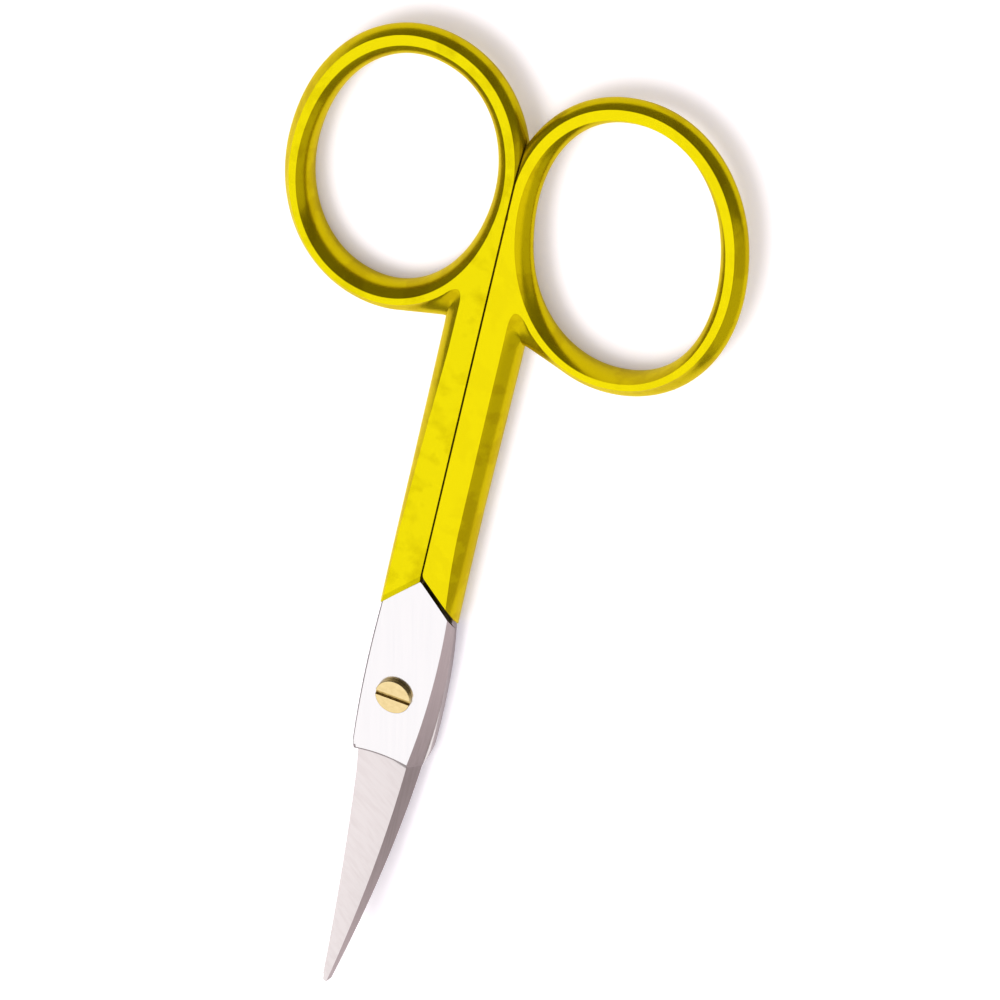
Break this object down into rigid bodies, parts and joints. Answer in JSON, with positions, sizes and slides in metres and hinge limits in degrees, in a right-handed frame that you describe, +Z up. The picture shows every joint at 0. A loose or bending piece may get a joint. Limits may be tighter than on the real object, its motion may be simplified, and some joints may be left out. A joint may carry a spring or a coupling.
{
  "type": "curved embroidery scissors",
  "caption": "Small embroidery scissors with oval finger rings, straight coated handles, a slotted pivot screw and short pointed blades that curl up from the table.",
  "frame": {"origin": "middle of the footprint, on the surface that the closed scissors lie on", "axes": "+Y from the tips towards the finger rings, +Z up, +X towards the lower half's ring"},
  "size_m": [0.0376, 0.0892, 0.0056],
  "materials": {
    "handle_coating": "glossy yellow coating over forged steel",
    "blade_steel": "polished joint, satin ground blades",
    "screw_brass": "turned, lightly polished"
  },
  "bodies": {
    "lower_half": {"lower_handle": "handle_coating", "lower_blade": "blade_steel", "pivot_screw": "screw_brass"},
    "upper_half": {"upper_handle": "handle_coating", "upper_blade": "blade_steel"}
  },
  "joints": [
    {"name": "pivot", "type": "hinge", "parent": "lower_half", "child": "upper_half", "pos_m": [0, -0.01392, 0.0017], "axis": [0, 0, 1], "range_deg": [0, 65]}
  ]
}
